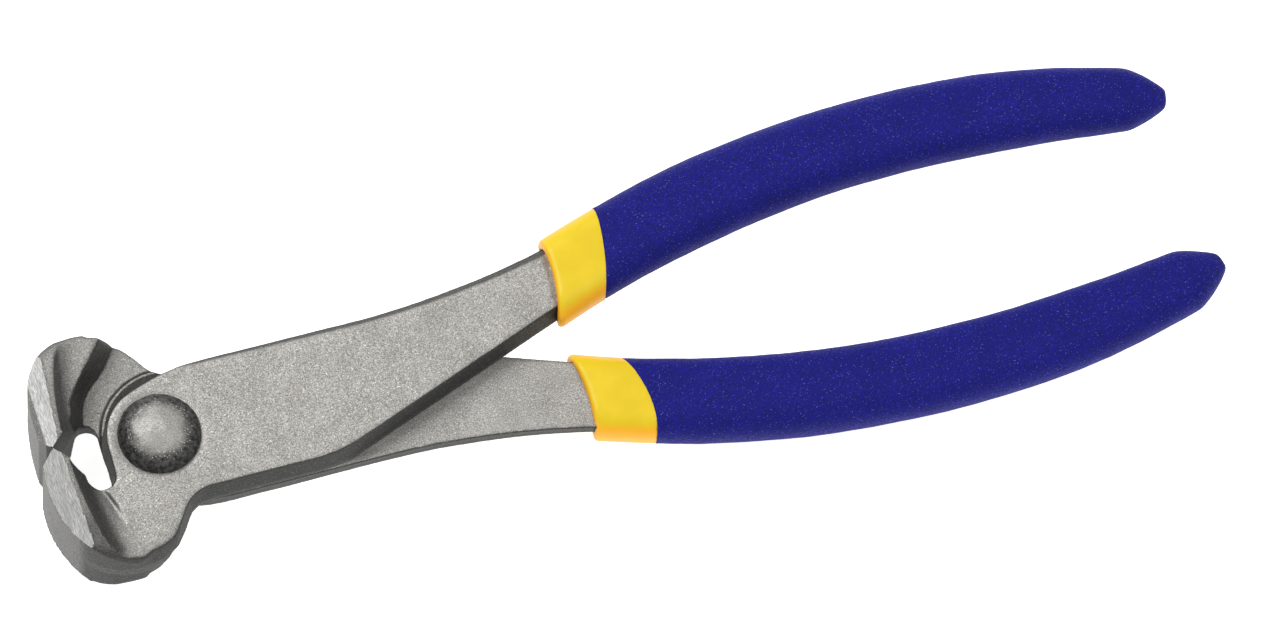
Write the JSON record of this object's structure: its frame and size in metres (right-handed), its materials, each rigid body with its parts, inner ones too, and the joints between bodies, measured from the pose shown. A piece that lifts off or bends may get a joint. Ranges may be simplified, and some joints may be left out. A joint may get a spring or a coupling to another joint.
{
  "type": "tile nippers",
  "caption": "End-cutting tile nippers: hollow-ground jaws on lap-jointed forged levers held by a domed rivet, with dipped vinyl grips and contrasting cuffs.",
  "frame": {"origin": "centre of the closed tool's bounding box, on the surface that the ends of its jaws touch", "axes": "+X from the cutting edges along the tool to the ends of the grips; +Y across the tool, to the side of the front lever's handle; +Z along the rivet, from the back lever to the front lever"},
  "size_m": [0.204, 0.0558, 0.024],
  "materials": {
    "forged_steel": "shot-blasted forging, ground facets at the jaws",
    "rivet_steel": "cold-set rivet head, lightly hammered",
    "blue_vinyl": "dipped vinyl with a fine orange-peel texture",
    "yellow_vinyl": "satin dipped vinyl"
  },
  "bodies": {
    "back_half": {"lever_back": "forged_steel", "pivot_rivet": "rivet_steel", "cuff_back": "yellow_vinyl", "grip_back": "blue_vinyl"},
    "front_half": {"lever_front": "forged_steel", "cuff_front": "yellow_vinyl", "grip_front": "blue_vinyl"}
  },
  "joints": [
    {"name": "jaw_pivot", "type": "hinge", "parent": "back_half", "child": "front_half", "pos_m": [-0.081, 0, 0.012], "axis": [0, 0, 1], "range_deg": [0, 55]}
  ]
}
